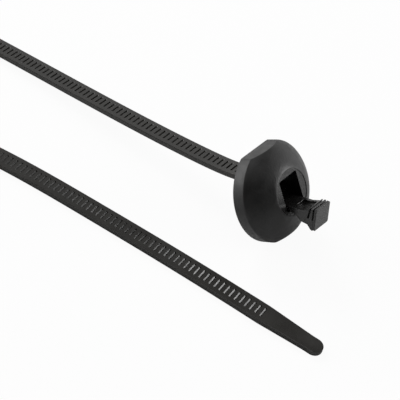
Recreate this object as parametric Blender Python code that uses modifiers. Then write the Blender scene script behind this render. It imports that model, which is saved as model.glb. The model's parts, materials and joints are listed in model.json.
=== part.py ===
"""Button head cable tie: one nylon moulding with a domed button, a release lever and a toothed strap.

Metres, +Z up. The tie lies on a flat surface at z = 0 and the origin is the middle of its base.
The button leans back on the lower edge of its flat back. The strap leaves the back above the
aperture, falls to the surface, rolls onto its edge for the turn and comes back flat beside the
button, teeth up. The button's own frame has n along its axis, y across and u up its back face.
"""

import math

import bmesh
import bpy
import numpy as np
from mathutils import Matrix, Vector

NAME = "button_head_cable_tie"

# Button
BUTTON_DIAMETER = 0.0222
BUTTON_ACROSS_FLATS = 0.0200
RIM_DEPTH = 0.0028
BUTTON_DEPTH = 0.0071
PLATEAU_DIAMETER = 0.0104
DOME_FULLNESS = 1.24
DOME_RINGS = 7
BUTTON_SEGMENTS = 64
BUTTON_LEAN = math.radians(35)

# Aperture through the button, and the slot in its back that the tail goes in by
APERTURE_WIDTH = 0.0062
APERTURE_HEIGHT = 0.0073
APERTURE_RISE = 0.0001
APERTURE_CORNER = 0.00045
CORNER_STEPS = 3
BACK_WALL = 0.0012
SLOT_SIDE_CLEARANCE = 0.00035
SLOT_HEIGHT = 0.0015
ROOF_DROP = 0.0018
RECESS_DEPTH = 0.00025
RECESS_RIM = 0.0001

# Release lever with its pawl
LEVER_SIDE_CLEARANCE = 0.0006
LEVER_TWIST = math.radians(3)
HINGE_THICKNESS = 0.0008
HINGE_LENGTH = 0.0009
PAWL_FLOOR_CLEARANCE = 0.0006
PAWL_TOOTH_COUNT = 1
PAWL_TOOTH_RAMP = 0.70
PAWL_CLEARANCE = 0.0001
PAWL_STEP_REACH = 0.0050
PAWL_STEP_BELOW_AXIS = 0.0019
PAWL_TOE = 0.0005
ARM_TOP_BELOW_AXIS = 0.0029
ARM_RISE_AT_MOUTH = 0.00065
ARM_SLOPE_LENGTH = 0.0029
ARM_THICKNESS_AT_MOUTH = 0.00105
ARM_TIP_LENGTH = 0.0008
ARM_TIP_RISE = 0.0003
TRAY_START = 0.0011
TRAY_LENGTH = 0.0034
TRAY_WIDTH = 0.0026
TRAY_SHIFT = 0.0004
TRAY_DEPTH = 0.0003
PLATE_REACH = 0.0067
PLATE_RISE = 0.0001
PLATE_HEIGHT = 0.0052
PLATE_THICKNESS = 0.0006
PLATE_OVERHANG = 0.0001
PLATE_CORNER = 0.0004
PLATE_LEAN = math.radians(22)
PLATE_BITE = 0.00003
RIB_COUNT = 1
RIB_THICKNESS = 0.0004
GROOVE_WIDTH = 0.0003
GROOVE_SPLAY = math.radians(10)
GROOVE_TOP_DEPTH = 0.0007
GROOVE_SIDE_DEPTH = 0.0004
GROOVE_LENGTH = 0.0028

# The arm's underside: how far beyond the button's face, and how far below the arm's top
ARM_UNDERSIDE = [
    (0.0005, 0.0008),
    (0.0014, 0.0013),
    (0.0022, 0.0027),
    (0.0038, 0.0034),
    (0.0041, 0.0041),
    (0.0043, 0.0046),
    (0.0047, 0.0049),
]

# Strap
STRAP_WIDTH = 0.0048
STRAP_THICKNESS = 0.0012
RAIL_WIDTH = 0.0012
TOOTH_PITCH = 0.00125
TOOTH_LAND = 0.00076
NOTCH_RAMP = 0.00040
NOTCH_DEPTH = 0.00025
LEAST_PLAIN_ROOT = 0.0045
PLAIN_TIP = 0.0138
TIP_TAPER = 0.0104
TIP_WIDTH = 0.0037
TIP_STEPS = 6
TEETH_PER_SPAN = 3
ROOT_WALL = 0.0009
ROOT_EMBED = 0.0010
PATH_SAMPLES = 3000

# How the strap lies: it runs down from the button, turns on its edge and comes back
RUN_RISE = 0.00775
RUN_LENGTH = 0.1000
OUTWARD_RUN = [(-0.027, -0.0008), (-0.052, -0.0021), (-0.077, -0.0041), (-0.100, -0.0068)]
LOOP_CENTRE = (-0.1180, -0.0340)
LOOP_RADIUS = 0.0240
LOOP_ANGLES = [100, 130, 160, 190, 220, 250, 280, 300]
RETURN_RUN = [(-0.089, -0.0450), (-0.070, -0.0366), (-0.050, -0.0310), (-0.025, -0.0270), (0.0, -0.0239)]
TAIL_TIP = (0.0315, -0.0209)
TWIST_IN = (0.078, 0.124)
TWIST_OUT = (0.150, 0.090)

NYLON_BLACK = (0.022, 0.022, 0.023, 1.0)
NYLON_ROUGHNESS = 0.42


def clear_scene():
    for obj in list(bpy.data.objects):
        bpy.data.objects.remove(obj, do_unlink=True)


def collection_named(name):
    group = bpy.data.collections.new(name)
    bpy.context.scene.collection.children.link(group)
    return group


def black_nylon():
    material = bpy.data.materials.new("black_nylon")
    material.use_nodes = True
    shader = material.node_tree.nodes["Principled BSDF"]
    shader.inputs["Base Color"].default_value = NYLON_BLACK
    shader.inputs["Roughness"].default_value = NYLON_ROUGHNESS
    shader.inputs["Metallic"].default_value = 0.0
    return material


def object_from(bm, name, group, helper=False):
    """Turns a bmesh into an object; a helper only cuts or joins and isn't part of the result."""
    bmesh.ops.recalc_face_normals(bm, faces=bm.faces)
    mesh = bpy.data.meshes.new(name)
    bm.to_mesh(mesh)
    bm.free()
    obj = bpy.data.objects.new(name, mesh)
    group.objects.link(obj)
    if helper:
        obj.hide_render = True
        obj.display_type = "WIRE"
    return obj


def button_frame():
    """Matrix from the button's own n, y, u to the world: its back stands on its lower edge."""
    axis = Vector((math.cos(BUTTON_LEAN), 0.0, math.sin(BUTTON_LEAN)))
    across = Vector((0.0, 1.0, 0.0))
    up = axis.cross(across)
    frame = Matrix((axis, across, up)).transposed().to_4x4()
    frame.translation = Vector((0.0, 0.0, BUTTON_ACROSS_FLATS / 2 * math.cos(BUTTON_LEAN)))
    return frame


def boolean(target, helper, operation):
    modifier = target.modifiers.new(helper.name, "BOOLEAN")
    modifier.operation = operation
    modifier.object = helper
    modifier.solver = "EXACT"


def block(name, group, low, high):
    """A helper box between two corners of the button's frame."""
    bm = bmesh.new()
    bmesh.ops.create_cube(bm, size=1.0)
    size = Vector(high) - Vector(low)
    bmesh.ops.scale(bm, vec=size, verts=bm.verts)
    bmesh.ops.translate(bm, vec=(Vector(high) + Vector(low)) / 2, verts=bm.verts)
    obj = object_from(bm, name, group, helper=True)
    obj.matrix_world = button_frame()
    return obj


def side_plate(name, group, outline, width):
    """A helper prism: an outline of (n, u) points, as wide across as given."""
    curve = bpy.data.curves.new(name, "CURVE")
    curve.dimensions = "2D"
    curve.fill_mode = "BOTH"
    curve.extrude = width / 2
    spline = curve.splines.new("POLY")
    spline.points.add(len(outline) - 1)
    for point, (n, u) in zip(spline.points, outline):
        point.co = (n, u, 0.0, 1.0)
    spline.use_cyclic_u = True
    flat = bpy.data.objects.new(name + "_outline", curve)
    group.objects.link(flat)
    graph = bpy.context.evaluated_depsgraph_get()
    mesh = bpy.data.meshes.new_from_object(flat.evaluated_get(graph))
    bpy.data.objects.remove(flat)
    bm = bmesh.new()
    bm.from_mesh(mesh)
    bpy.data.meshes.remove(mesh)
    bmesh.ops.remove_doubles(bm, verts=bm.verts, dist=1e-7)
    bmesh.ops.rotate(bm, matrix=Matrix.Rotation(math.pi / 2, 3, "X"), verts=bm.verts)
    obj = object_from(bm, name, group, helper=True)
    obj.matrix_world = button_frame()
    return obj


def dome_profile():
    """(n, r) points of the button's turned outline, from the back's centre round to its recessed face."""
    rim = BUTTON_DIAMETER / 2
    top = PLATEAU_DIAMETER / 2
    points = [(0.0, 0.0), (0.0, rim)]
    for step in range(DOME_RINGS + 1):
        angle = math.pi / 2 * step / DOME_RINGS
        radius = top + (rim - top) * math.cos(angle) ** (2 / DOME_FULLNESS)
        depth = RIM_DEPTH + (BUTTON_DEPTH - RIM_DEPTH) * math.sin(angle) ** (2 / DOME_FULLNESS)
        points.append((depth, radius))
    wall = top - RECESS_RIM
    recess = BUTTON_DEPTH - RECESS_DEPTH
    return [*points, (BUTTON_DEPTH, wall), (recess, wall), (recess, 0.0)]


def turned_button(group):
    bm = bmesh.new()
    rows = [bm.verts.new((n, r, 0.0)) for n, r in dome_profile()]
    for first, second in zip(rows, rows[1:]):
        bm.edges.new((first, second))
    mesh = bpy.data.meshes.new(NAME)
    bm.to_mesh(mesh)
    bm.free()
    button = bpy.data.objects.new(NAME, mesh)
    group.objects.link(button)
    button.matrix_world = button_frame()
    screw = button.modifiers.new("turned", "SCREW")
    screw.axis = "X"
    screw.steps = BUTTON_SEGMENTS
    screw.render_steps = BUTTON_SEGMENTS
    screw.use_merge_vertices = True
    screw.merge_threshold = 1e-6
    screw.use_normal_calculate = True
    return button


def aperture_top():
    return APERTURE_RISE + APERTURE_HEIGHT / 2


def aperture_floor():
    return APERTURE_RISE - APERTURE_HEIGHT / 2


def roof_at(n):
    """Height of the aperture's sloping roof, n in from the back."""
    return aperture_top() - ROOF_DROP * (1 - n / BUTTON_DEPTH)


def root_height():
    """Height of the strap's middle where it leaves the back, over the slot."""
    return roof_at(0) + ROOT_WALL + STRAP_THICKNESS / 2


def rounded_outline(low, high, radius):
    """(across, up) points of a rectangle between two corners, with its four corners rounded."""
    left, right = low[0] + radius, high[0] - radius
    bottom, top = low[1] + radius, high[1] - radius
    points = []
    for quarter, (a, b) in enumerate(((right, top), (left, top), (left, bottom), (right, bottom))):
        for step in range(CORNER_STEPS + 1):
            angle = math.pi / 2 * (quarter + step / CORNER_STEPS)
            points.append((a + radius * math.cos(angle), b + radius * math.sin(angle)))
    return points


def lofted(name, group, rings):
    """A helper body through closed rings of (n, y, u) points, with a flat end at each side."""
    bm = bmesh.new()
    rows = [[bm.verts.new(point) for point in ring] for ring in rings]
    for one, two in zip(rows, rows[1:]):
        for i in range(len(one)):
            j = (i + 1) % len(one)
            bm.faces.new((one[i], one[j], two[j], two[i]))
    bm.faces.new(rows[0])
    bm.faces.new(rows[-1])
    obj = object_from(bm, name, group, helper=True)
    obj.matrix_world = button_frame()
    return obj


def aperture_cutters(group):
    """The open mouth and the slot behind it."""
    side = APERTURE_WIDTH / 2
    rings = []
    for n, roof in (
        (BACK_WALL, roof_at(BACK_WALL)),
        (BUTTON_DEPTH, roof_at(BUTTON_DEPTH)),
        (BUTTON_DEPTH + 0.001, roof_at(BUTTON_DEPTH)),
    ):
        outline = rounded_outline((-side, aperture_floor()), (side, roof), APERTURE_CORNER)
        rings.append([(n, y, u) for y, u in outline])
    mouth = lofted("mouth", group, rings)
    across = STRAP_WIDTH / 2 + SLOT_SIDE_CLEARANCE
    slot_low = (-0.001, -across, roof_at(0) - SLOT_HEIGHT)
    slot = block("tail_slot", group, slot_low, (BACK_WALL * 1.5, across, roof_at(0)))
    return [mouth, slot]


def lever_frame():
    """Matrix from the lever's own n, y, u to the world: it lies twisted a little about its arm."""
    top = Matrix.Translation((0.0, 0.0, -ARM_TOP_BELOW_AXIS))
    return button_frame() @ top @ Matrix.Rotation(-LEVER_TWIST, 4, "X") @ top.inverted()


def plate_frame():
    """Matrix of the end plate: x out of its face, y across and z up it, from its inner upper edge."""
    corner = Matrix.Translation((BUTTON_DEPTH + PLATE_REACH, 0.0, PLATE_RISE - ARM_TOP_BELOW_AXIS))
    return corner @ Matrix.Rotation(PLATE_LEAN, 4, "Y")


def on_plate(out, up):
    """(n, u) of a point on the lever's middle plane, given out of and up the end plate."""
    point = plate_frame() @ Vector((out, 0.0, up))
    return point.x, point.z


def lever_outline():
    """(n, u) points of the lever's side: hinge, pawl, arm and neck, as far as the end plate."""
    floor = aperture_floor()
    pawl_back = BACK_WALL + HINGE_LENGTH
    tail_face = roof_at(pawl_back) - STRAP_THICKNESS - PAWL_CLEARANCE
    pawl_floor = floor + PAWL_FLOOR_CLEARANCE
    hinge_low = pawl_floor + HINGE_THICKNESS
    hinge_top = hinge_low + HINGE_THICKNESS
    arm_top = -ARM_TOP_BELOW_AXIS
    mouth_top = arm_top + ARM_RISE_AT_MOUTH
    neck = RIB_COUNT * (RIB_THICKNESS + GROOVE_WIDTH) + GROOVE_WIDTH
    tip = on_plate(-neck, 0.0)[0]
    teeth = []
    for tooth in range(PAWL_TOOTH_COUNT):
        start = pawl_back + tooth * TOOTH_PITCH
        rise = roof_at(start) - roof_at(pawl_back)
        teeth.append((start, tail_face + rise - NOTCH_DEPTH))
        teeth.append((start + TOOTH_PITCH * PAWL_TOOTH_RAMP, tail_face + rise))
    pawl_front = pawl_back + PAWL_TOOTH_COUNT * TOOTH_PITCH
    return [
        (BACK_WALL / 2, hinge_low),
        (pawl_back, hinge_low),
        (pawl_back + PAWL_FLOOR_CLEARANCE, pawl_floor),
        (BUTTON_DEPTH - PAWL_TOE, pawl_floor),
        (BUTTON_DEPTH, mouth_top - ARM_THICKNESS_AT_MOUTH),
        *((BUTTON_DEPTH + beyond, arm_top - below) for beyond, below in ARM_UNDERSIDE),
        on_plate(2 * PLATE_BITE, PLATE_CORNER / 2 - PLATE_HEIGHT),
        on_plate(2 * PLATE_BITE, -PLATE_BITE),
        (tip, arm_top + ARM_TIP_RISE),
        (tip - ARM_TIP_LENGTH / 2, arm_top + ARM_TIP_RISE),
        (tip - ARM_TIP_LENGTH, arm_top),
        (BUTTON_DEPTH + ARM_SLOPE_LENGTH, arm_top),
        (BUTTON_DEPTH, mouth_top),
        (PAWL_STEP_REACH, -PAWL_STEP_BELOW_AXIS),
        (pawl_front, -PAWL_STEP_BELOW_AXIS),
        (pawl_front, teeth[-1][1] - NOTCH_DEPTH),
        *reversed(teeth),
        (pawl_back, hinge_top),
        (BACK_WALL / 2, hinge_top),
    ]


def lever_width():
    return APERTURE_WIDTH - 2 * LEVER_SIDE_CLEARANCE


def lever_tray(group):
    """The shallow tray along the arm's top, between its two rails."""
    start = BUTTON_DEPTH + TRAY_START
    low = (start, TRAY_SHIFT - TRAY_WIDTH / 2, -ARM_TOP_BELOW_AXIS - TRAY_DEPTH)
    high = (start + TRAY_LENGTH, TRAY_SHIFT + TRAY_WIDTH / 2, -ARM_TOP_BELOW_AXIS + ARM_RISE_AT_MOUTH)
    tray = block("arm_tray", group, low, high)
    tray.matrix_world = lever_frame()
    return tray


def neck_grooves(group):
    """Grooves over and beside the neck, parallel to the end plate, with a rib left between them."""
    web = lever_width() / 2 - GROOVE_SIDE_DEPTH
    top = ARM_TIP_RISE - PLATE_RISE - GROOVE_TOP_DEPTH
    side = lever_width()
    outline = [
        (-side, -GROOVE_LENGTH), (-web, -GROOVE_LENGTH), (-web, top), (web, top),
        (web, -GROOVE_LENGTH), (side, -GROOVE_LENGTH), (side, side), (-side, side),
    ]
    grooves = []
    for gap in range(RIB_COUNT + 1):
        middle = PLATE_BITE - GROOVE_WIDTH / 2 - gap * (GROOVE_WIDTH + RIB_THICKNESS)
        groove = side_plate(f"groove_{gap}", group, outline, GROOVE_WIDTH)
        place = Matrix.Translation((middle, 0.0, 0.0)) @ Matrix.Rotation(gap * GROOVE_SPLAY, 4, "Y")
        groove.matrix_world = lever_frame() @ plate_frame() @ place @ Matrix.Rotation(math.pi / 2, 4, "Z")
        grooves.append(groove)
    return grooves


def end_plate(group):
    """The bare end plate, with rounded corners."""
    side = lever_width() / 2 + PLATE_OVERHANG
    outline = rounded_outline((-side, -PLATE_HEIGHT), (side, 0.0), PLATE_CORNER)
    faces = [[(out, y, up) for y, up in outline] for out in (0.0, PLATE_THICKNESS)]
    plate = lofted("end_plate", group, faces)
    plate.matrix_world = lever_frame() @ plate_frame()
    return plate


def plan_points():
    """(x, y) points that the strap's middle passes through, from the button to the tip."""
    root = button_frame() @ Vector((0.0, 0.0, root_height()))
    loop = []
    for angle in LOOP_ANGLES:
        x = LOOP_CENTRE[0] + LOOP_RADIUS * math.cos(math.radians(angle))
        y = LOOP_CENTRE[1] + LOOP_RADIUS * math.sin(math.radians(angle))
        loop.append((x, y))
    return [(root.x, root.y), *OUTWARD_RUN, *loop, *RETURN_RUN, TAIL_TIP]


def smooth_through(points, first_slope, samples):
    """A smooth curve through the points, which leaves the first one along first_slope."""
    points = np.array(points)
    step = np.linalg.norm(np.diff(points, axis=0), axis=1)
    at = np.concatenate([[0.0], np.cumsum(step)])
    count = len(points)
    rows = np.zeros((count, count))
    right = np.zeros((count, 2))
    rows[0, 0] = 1.0
    right[0] = first_slope
    for i in range(1, count - 1):
        rows[i, i - 1] = step[i]
        rows[i, i] = 2 * (step[i - 1] + step[i])
        rows[i, i + 1] = step[i - 1]
        before = (points[i] - points[i - 1]) / step[i - 1]
        after = (points[i + 1] - points[i]) / step[i]
        right[i] = 3 * (step[i] * before + step[i - 1] * after)
    rows[-1, -2:] = (1.0, 2.0)
    right[-1] = 3 * (points[-1] - points[-2]) / step[-1]
    slopes = np.linalg.solve(rows, right)
    where = np.linspace(0.0, at[-1], samples)
    i = np.clip(np.searchsorted(at, where, side="right") - 1, 0, count - 2)
    t = ((where - at[i]) / step[i])[:, None]
    h = step[i][:, None]
    start = (2 * t**3 - 3 * t**2 + 1) * points[i] + (t**3 - 2 * t**2 + t) * h * slopes[i]
    return start + (3 * t**2 - 2 * t**3) * points[i + 1] + (t**3 - t**2) * h * slopes[i + 1]


def smooth_step(value, low, high):
    t = np.clip((value - low) / (high - low), 0.0, 1.0)
    return t * t * (3 - 2 * t)


class StrapPath:
    """Middle line, width direction and face direction of the strap, by distance along it."""

    def __init__(self):
        plan = smooth_through(plan_points(), (-1.0, 0.0), PATH_SAMPLES)
        along = np.concatenate([[0.0], np.cumsum(np.linalg.norm(np.diff(plan, axis=0), axis=1))])
        left = along[-1] - along
        bank = smooth_step(along, *TWIST_IN) * (1 - smooth_step(-left, -TWIST_OUT[0], -TWIST_OUT[1]))
        self.bank = bank * math.pi / 2
        rest = STRAP_WIDTH / 2 * np.sin(self.bank) + STRAP_THICKNESS / 2 * np.cos(self.bank)
        root = button_frame() @ Vector((0.0, 0.0, root_height()))
        hop = root.z - STRAP_THICKNESS / 2 - RUN_RISE
        bend = hop / (math.tan(BUTTON_LEAN) - 2 * RUN_RISE / RUN_LENGTH)
        lift = RUN_RISE * np.clip(1 - along / RUN_LENGTH, 0.0, None) ** 2 + hop * np.exp(-along / bend)
        self.points = np.column_stack([plan, rest + lift])
        steps = np.linalg.norm(np.diff(self.points, axis=0), axis=1)
        self.along = np.concatenate([[0.0], np.cumsum(steps)])
        self.length = self.along[-1]
        self.tangents = np.gradient(self.points, self.along, axis=0)

    def at(self, distance):
        """(point, across, face) at this distance from the button's back."""
        inside = min(max(distance, 0.0), self.length)
        point = Vector([np.interp(inside, self.along, self.points[:, k]) for k in range(3)])
        tangent = Vector([np.interp(inside, self.along, self.tangents[:, k]) for k in range(3)]).normalized()
        bank = float(np.interp(inside, self.along, self.bank))
        outward = tangent.cross(Vector((0.0, 0.0, 1.0))).normalized()
        upright = outward.cross(tangent)
        face = upright * math.cos(bank) + outward * math.sin(bank)
        point += tangent * (distance - inside)
        return point, tangent.cross(face), face


def half_width(path, distance):
    """Half the strap's width, which tapers and rounds off at the tip."""
    left = path.length - distance
    if left >= PLAIN_TIP:
        return STRAP_WIDTH / 2
    nose = TIP_WIDTH / 2
    if left < nose:
        return nose * math.sqrt(max(1 - (1 - left / nose) ** 2, 0.02))
    taper = min((PLAIN_TIP - left) / TIP_TAPER, 1.0)
    return STRAP_WIDTH / 2 + (nose - STRAP_WIDTH / 2) * taper


def row(bm, path, distance, sides):
    """New vertices across the strap at a distance: sides are (across, up) pairs."""
    point, across, face = path.at(distance)
    return [bm.verts.new(point + across * a + face * b) for a, b in sides]


def body_row(bm, path, distance):
    """The strap's four outer corners: bottom left, bottom right, top right, top left."""
    half = half_width(path, distance)
    thick = STRAP_THICKNESS / 2
    return row(bm, path, distance, [(-half, -thick), (half, -thick), (half, thick), (-half, thick)])


def strap(group):
    """The whole strap: a plain root, spans with a notch behind every tooth and a plain tapered tip."""
    path = StrapPath()
    bm = bmesh.new()
    channel = STRAP_WIDTH / 2 - RAIL_WIDTH
    top = STRAP_THICKNESS / 2
    flush = [(-channel, top), (channel, top)]
    deep = [(-channel, top - NOTCH_DEPTH), (channel, top - NOTCH_DEPTH)]
    span = TOOTH_PITCH * TEETH_PER_SPAN
    toothed = path.length - PLAIN_TIP
    spans = int((toothed - LEAST_PLAIN_ROOT) / span)
    plain_root = toothed - spans * span
    body = [body_row(bm, path, -ROOT_EMBED)]
    inner = [[]]
    root_rows = max(2, round(plain_root / span * 2))
    for step in range(root_rows):
        body.append(body_row(bm, path, plain_root * step / root_rows))
        inner.append([])
    first_span = len(body)
    for step in range(spans + 1):
        body.append(body_row(bm, path, plain_root + step * span))
        inner.append(row(bm, path, plain_root + step * span, flush))
    last_span = len(body) - 1
    for step in range(1, TIP_STEPS + 1):
        body.append(body_row(bm, path, toothed + (PLAIN_TIP - TIP_WIDTH / 2) * step / TIP_STEPS))
        inner.append([])
    for step in range(1, TIP_STEPS + 1):
        angle = math.pi / 2 * step / TIP_STEPS
        body.append(body_row(bm, path, path.length - TIP_WIDTH / 2 * (1 - math.sin(angle))))
        inner.append([])
    for i in range(len(body) - 1):
        one, two = body[i], body[i + 1]
        for a, b in ((0, 1), (1, 2), (3, 0)):
            bm.faces.new((one[a], one[b], two[b], two[a]))
        if not first_span <= i < last_span:
            bm.faces.new((one[3], *inner[i], one[2], two[2], *reversed(inner[i + 1]), two[3]))
            continue
        edge = [inner[i]]
        start = plain_root + (i - first_span) * span
        for tooth in range(TEETH_PER_SPAN):
            before = edge[-1]
            land = row(bm, path, start + TOOTH_LAND, flush)
            bottom = row(bm, path, start + TOOTH_LAND + NOTCH_RAMP, deep)
            start += TOOTH_PITCH
            after = inner[i + 1] if tooth == TEETH_PER_SPAN - 1 else row(bm, path, start, flush)
            for near, far in ((before, land), (land, bottom), (bottom, after)):
                bm.faces.new((near[0], near[1], far[1], far[0]))
            for side in (0, 1):
                bm.faces.new((land[side], bottom[side], after[side]))
            edge += [land, after]
        bm.faces.new((one[3], two[3], *(pair[0] for pair in reversed(edge))))
        bm.faces.new((one[2], two[2], *(pair[1] for pair in reversed(edge))))
    bm.faces.new(body[0])
    bm.faces.new(body[-1])
    return object_from(bm, "strap", group, helper=True)


def stand_on_origin(obj):
    """Makes the object one plain mesh whose origin is the middle of its base."""
    graph = bpy.context.evaluated_depsgraph_get()
    mesh = bpy.data.meshes.new_from_object(obj.evaluated_get(graph))
    mesh.transform(obj.matrix_world)
    points = np.empty(len(mesh.vertices) * 3)
    mesh.vertices.foreach_get("co", points)
    points = points.reshape(-1, 3)
    low, high = points.min(axis=0), points.max(axis=0)
    base = Vector(((low[0] + high[0]) / 2, (low[1] + high[1]) / 2, low[2]))
    mesh.transform(Matrix.Translation(-base))
    obj.modifiers.clear()
    obj.data = mesh
    obj.matrix_world = Matrix.Identity(4)
    return base


def main():
    clear_scene()
    group = collection_named(NAME)
    helpers = collection_named("helpers")
    tie = turned_button(group)
    half = BUTTON_ACROSS_FLATS / 2
    reach = BUTTON_DIAMETER
    flats = block("flats", helpers, (-reach, -reach, -half), (reach, reach, half))
    boolean(tie, flats, "INTERSECT")
    for cutter in aperture_cutters(helpers):
        boolean(tie, cutter, "DIFFERENCE")
    lever = side_plate("release_lever", helpers, lever_outline(), lever_width())
    lever.matrix_world = lever_frame()
    for cutter in [lever_tray(helpers), *neck_grooves(helpers)]:
        boolean(lever, cutter, "DIFFERENCE")
    boolean(lever, end_plate(helpers), "UNION")
    boolean(tie, lever, "UNION")
    boolean(tie, strap(helpers), "UNION")
    bpy.context.view_layer.update()
    stand_on_origin(tie)
    tie.data.materials.clear()
    tie.data.materials.append(black_nylon())
    tie.data.shade_smooth()
    tie.data.set_sharp_from_angle(angle=math.radians(25))


main()
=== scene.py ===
"""Dressed model of a button head cable tie: domed button, release lever and toothed strap.

The button's own frame has n along its axis, y across and u up its flat back. Lengths are in metres.
"""

import json
import logging
import math
from collections.abc import Sequence
from dataclasses import dataclass
from enum import Enum

import bmesh
import bpy
import numpy as np
from bpy.types import Material, Mesh, Node, NodeSocket, Object
from mathutils import Matrix, Vector


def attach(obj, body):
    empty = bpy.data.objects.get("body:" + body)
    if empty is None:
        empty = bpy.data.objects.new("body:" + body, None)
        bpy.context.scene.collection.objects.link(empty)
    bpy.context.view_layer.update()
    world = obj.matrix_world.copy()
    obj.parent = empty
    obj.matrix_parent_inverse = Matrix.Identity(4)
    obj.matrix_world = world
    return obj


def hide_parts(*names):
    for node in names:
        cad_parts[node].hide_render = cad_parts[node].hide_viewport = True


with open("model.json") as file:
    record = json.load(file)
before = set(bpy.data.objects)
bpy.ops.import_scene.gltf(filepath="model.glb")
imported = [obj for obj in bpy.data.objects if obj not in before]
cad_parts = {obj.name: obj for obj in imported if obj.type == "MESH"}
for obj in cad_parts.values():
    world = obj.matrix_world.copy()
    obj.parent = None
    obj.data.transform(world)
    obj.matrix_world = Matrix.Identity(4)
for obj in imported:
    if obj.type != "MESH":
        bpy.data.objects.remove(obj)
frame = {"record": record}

LOG = logging.getLogger("cable_tie")
NODE = "button_head_cable_tie"
BODY = "root"
POLISHED = "polished"
WHITE = (1.0, 1.0, 1.0, 1.0)
# How far a cutter reaches past the face that it opens.
OVERSHOOT = 0.001

Pair = tuple[float, float]
Point = tuple[float, float, float]
Feeds = dict[str | int, object]
Steps = Sequence[tuple[str, Mesh, Matrix]]


class Piece(Enum):
    """Which piece of the tie a finish is for."""

    BUTTON = "button"
    STRAP = "strap"
    LEVER = "lever"


class NodeBuilder:
    """Adds nodes to a tree and feeds their inputs."""

    def __init__(self, tree: bpy.types.NodeTree) -> None:
        """Starts on the tree that gets the nodes."""
        self.tree = tree

    def feed(self, node: Node, feeds: Feeds) -> None:
        """Links sockets to a node's inputs, or sets the inputs to plain values.

        Args:
            node: The node.
            feeds: A socket or a plain value for each input, by name or number.
        """
        for key, value in feeds.items():
            if isinstance(value, NodeSocket):
                self.tree.links.new(value, node.inputs[key])
            else:
                node.inputs[key].default_value = value

    def node(self, kind: str, feeds: Feeds | None = None, **settings: object) -> Node:
        """Adds a node.

        Args:
            kind: The node's type.
            feeds: A socket or a plain value for each input that isn't left alone.
            **settings: Properties to set on it.

        Returns:
            The new node.
        """
        node = self.tree.nodes.new(kind)
        for key, value in settings.items():
            setattr(node, key, value)
        self.feed(node, feeds or {})
        return node

    def socket(
        self, output: str | int, kind: str, feeds: Feeds | None = None, **settings: object
    ) -> NodeSocket:
        """Adds a node in the same way and gives one of its outputs, by name or number."""
        return self.node(kind, feeds, **settings).outputs[output]

    def maths(self, operation: str, one: object, two: object = 0.0) -> NodeSocket:
        """Adds a Math node on sockets or numbers and gives its result."""
        return self.socket(0, "ShaderNodeMath", {0: one, 1: two}, operation=operation)

    def parts(self, vector: NodeSocket) -> tuple[NodeSocket, ...]:
        """Gives a vector's x, y and z."""
        return tuple(self.node("ShaderNodeSeparateXYZ", {0: vector}).outputs)

    def ramp(self, source: NodeSocket, edge: Pair, ends: Pair, rise: str = "LINEAR") -> NodeSocket:
        """Adds a Map Range node.

        Args:
            source: What drives it.
            edge: Where its value starts and stops to change.
            ends: Its value before and after.
            rise: How it changes between.

        Returns:
            Its result.
        """
        feeds = {"Value": source, "From Min": edge[0], "From Max": edge[1]}
        feeds.update({"To Min": ends[0], "To Max": ends[1]})
        return self.socket("Result", "ShaderNodeMapRange", feeds, interpolation_type=rise)


@dataclass(frozen=True)
class NylonFinish:
    """Black moulded nylon: nearly black, satin, with a fine mould grain and faint flow marks."""

    piece: Piece
    colour: Point
    colour_flow: Point
    roughness: Pair
    flow_size: float = 0.004
    flow_detail: float = 4.0
    flow_edge: Pair = (0.3, 0.7)
    grain_size: float = 0.00022
    grain_detail: float = 2.0
    grain_height: float = 0.000004
    refraction: float = 1.53
    polish: float = 0.27

    def material(self) -> Material:
        """Builds the finish as a node material on Object coordinates.

        Returns:
            The new material.
        """
        material = bpy.data.materials.new("nylon_" + self.piece.value)
        material.use_nodes = True
        nodes = NodeBuilder(material.node_tree)
        place = nodes.socket("Object", "ShaderNodeTexCoord")
        noises = []
        for size, detail in ((self.flow_size, self.flow_detail), (self.grain_size, self.grain_detail)):
            feeds = {"Vector": place, "Scale": 1.0 / size, "Detail": detail}
            noises.append(nodes.socket("Fac", "ShaderNodeTexNoise", feeds))
        flow, grain = noises
        feeds = {"Factor": flow, "A": (*self.colour, 1.0), "B": (*self.colour_flow, 1.0)}
        tone = nodes.socket("Result", "ShaderNodeMix", feeds, data_type="RGBA")
        shine = nodes.ramp(flow, self.flow_edge, self.roughness)
        if self.piece is Piece.BUTTON:
            mask = nodes.socket("Fac", "ShaderNodeAttribute", attribute_name=POLISHED)
            shine = nodes.socket("Result", "ShaderNodeMix", {"Factor": mask, "A": shine, "B": self.polish})
        bump = nodes.socket("Normal", "ShaderNodeBump", {"Distance": self.grain_height, "Height": grain})
        feeds = {"Base Color": tone, "Roughness": shine, "Normal": bump}
        feeds.update({"IOR": self.refraction, "Metallic": 0.0})
        nodes.feed(nodes.tree.nodes["Principled BSDF"], feeds)
        return material


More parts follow.
